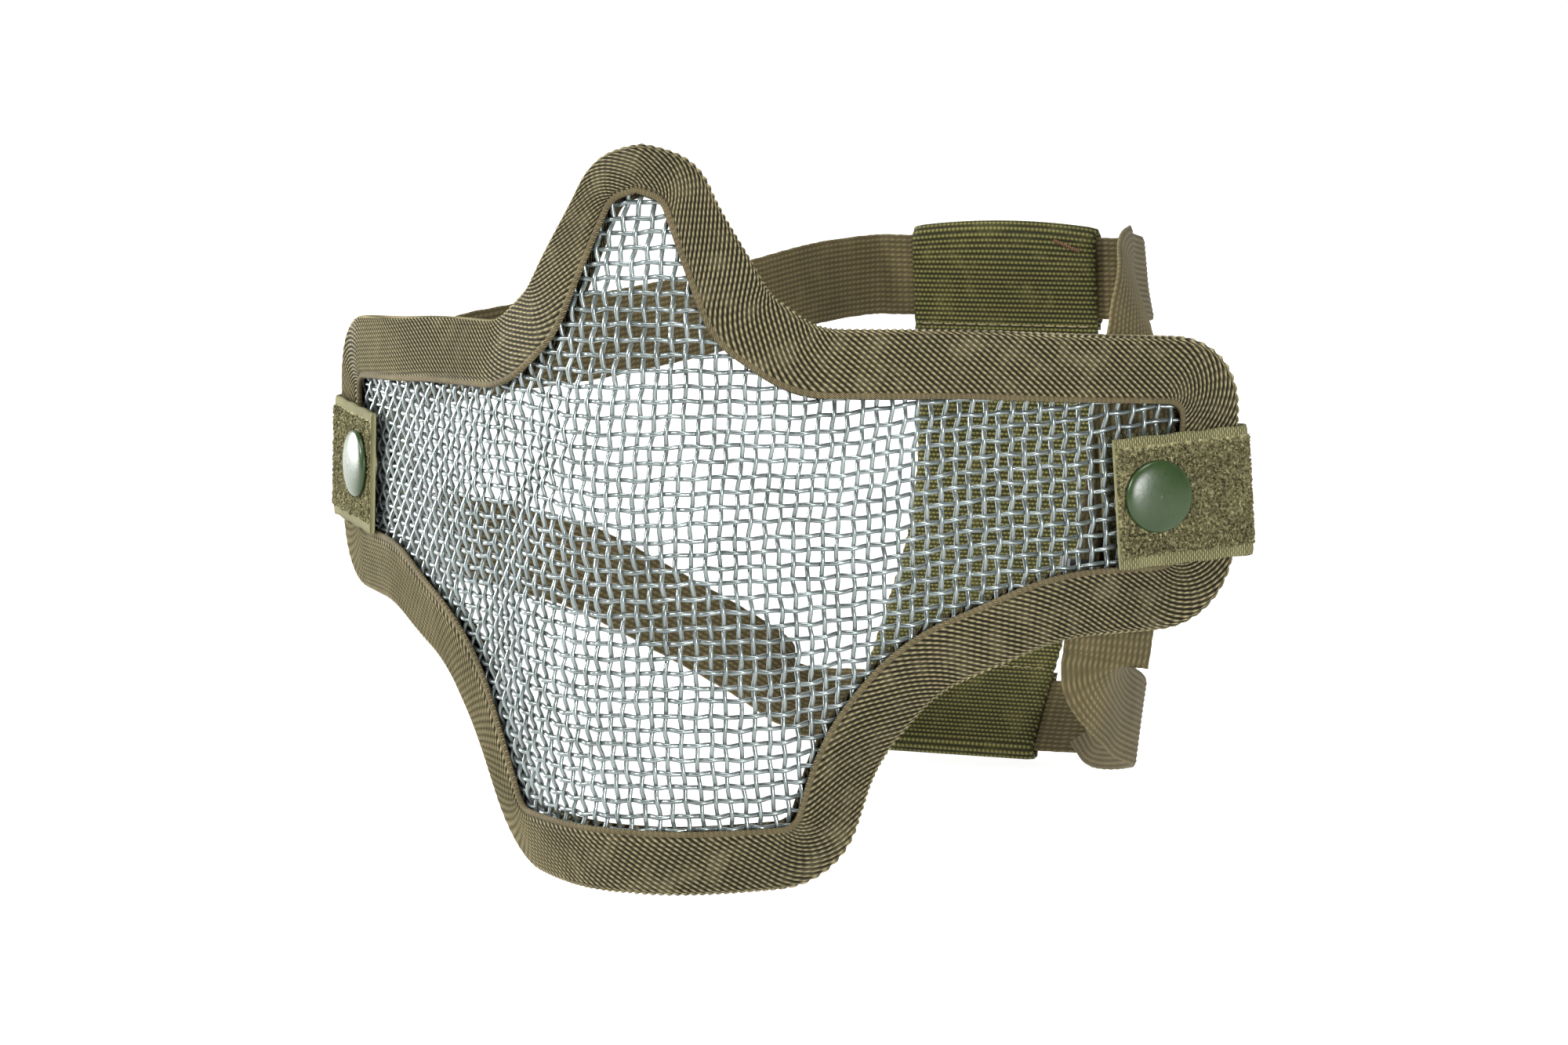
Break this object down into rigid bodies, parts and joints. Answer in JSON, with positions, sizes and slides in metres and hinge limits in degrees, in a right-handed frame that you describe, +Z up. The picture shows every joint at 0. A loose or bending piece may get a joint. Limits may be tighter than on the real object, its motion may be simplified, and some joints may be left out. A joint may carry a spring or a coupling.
{
  "type": "half face mask",
  "caption": "Half face mask of painted woven wire with a taped edge, side tabs with snap fasteners, two elastic straps and a webbing pad behind the head.",
  "frame": {"origin": "foot of the mask's centre line, at its lower edge and in line with the front of the chin; the wearer's face holds the mask there", "axes": "+Z up as worn, the mask faces -Y, +X is the wearer's left"},
  "size_m": [0.2176, 0.2312, 0.1654],
  "materials": {
    "wire": "satin grey-green paint on woven steel wire",
    "tape": "matt twill tape",
    "loop": "brushed loop pile",
    "elastic": "matt ribbed elastic",
    "pad": "matt ribbed webbing",
    "cap": "semi-gloss green paint",
    "snap": "nickel plate",
    "slider": "dark lacquer"
  },
  "bodies": {
    "mask": {"mesh_shell": "wire", "edge_binding": "tape", "left_tab_leaf": "loop", "right_tab_leaf": "loop", "left_snap_stud": "snap", "right_snap_stud": "snap", "left_snap_eyelet": "snap", "right_snap_eyelet": "snap", "upper_strap": "elastic", "lower_strap": "elastic"},
    "left_flap": {"left_tab_flap": "loop", "left_snap_cap": "cap", "left_snap_socket": "snap"},
    "right_flap": {"right_tab_flap": "loop", "right_snap_cap": "cap", "right_snap_socket": "snap"},
    "pad": {"back_pad": "pad"},
    "left_slider": {"left_strap_slider": "slider"},
    "right_slider": {"right_strap_slider": "slider"}
  },
  "joints": [
    {"name": "left_flap_opens", "type": "hinge", "parent": "mask", "child": "left_flap", "pos_m": [0.10541, 0.07524, 0.07224], "axis": [-0.0499, 0.0502, 0.9975], "range_deg": [0, 110]},
    {"name": "right_flap_opens", "type": "hinge", "parent": "mask", "child": "right_flap", "pos_m": [-0.10541, 0.07524, 0.07224], "axis": [-0.0499, -0.0502, -0.9975], "range_deg": [0, 110]},
    {"name": "pad_slides", "type": "slide", "parent": "mask", "child": "pad", "axis": [1, 0, 0], "range_m": [-0.006, 0.006]},
    {"name": "left_slider_slides", "type": "slide", "parent": "mask", "child": "left_slider", "axis": [-0.1154, -0.1373, -0.9838], "range_m": [-0.006, 0.006]},
    {"name": "right_slider_slides", "type": "slide", "parent": "mask", "child": "right_slider", "axis": [-0.398, 0.6539, -0.6434], "range_m": [-0.006, 0.006]}
  ]
}
